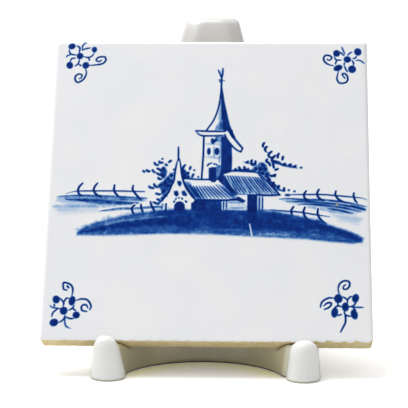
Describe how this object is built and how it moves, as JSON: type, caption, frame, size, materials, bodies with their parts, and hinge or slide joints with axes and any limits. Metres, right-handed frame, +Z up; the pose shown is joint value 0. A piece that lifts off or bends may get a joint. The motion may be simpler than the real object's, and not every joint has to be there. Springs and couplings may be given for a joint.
{
  "type": "painted tin-glazed tile on a stand",
  "caption": "Square tin-glazed tile with a blue painted village and corner flowers, leaning on a one-piece white porcelain stand with toes and a tapered back rest.",
  "frame": {"origin": "on the floor under the middle of the object's bounding box", "axes": "+X to the right as seen from the painted side, -Y towards the viewer of the painting, +Z up"},
  "size_m": [0.13, 0.0978, 0.1376],
  "materials": {
    "stand_porcelain": "white porcelain with a clear gloss glaze",
    "fired_clay": "unglazed tan biscuit, matt and slightly gritty",
    "tin_glaze": "opaque white tin glaze, glossy with pin holes",
    "cobalt_paint": "cobalt blue brushwork melted into the glaze"
  },
  "bodies": {
    "stand": {"stand": "stand_porcelain"},
    "tile": {"tile_body": "fired_clay", "tile_glaze": "tin_glaze", "painted_village": "cobalt_paint", "painted_fence_left": "cobalt_paint", "painted_fence_right": "cobalt_paint", "painted_flower_top_left": "cobalt_paint", "painted_flower_top_right": "cobalt_paint", "painted_flower_bottom_left": "cobalt_paint", "painted_flower_bottom_right": "cobalt_paint"}
  },
  "joints": [
    {"name": "tile_lift", "type": "slide", "parent": "stand", "child": "tile", "axis": [0, 0.4772, 0.8788], "range_m": [0, 0.155]}
  ]
}
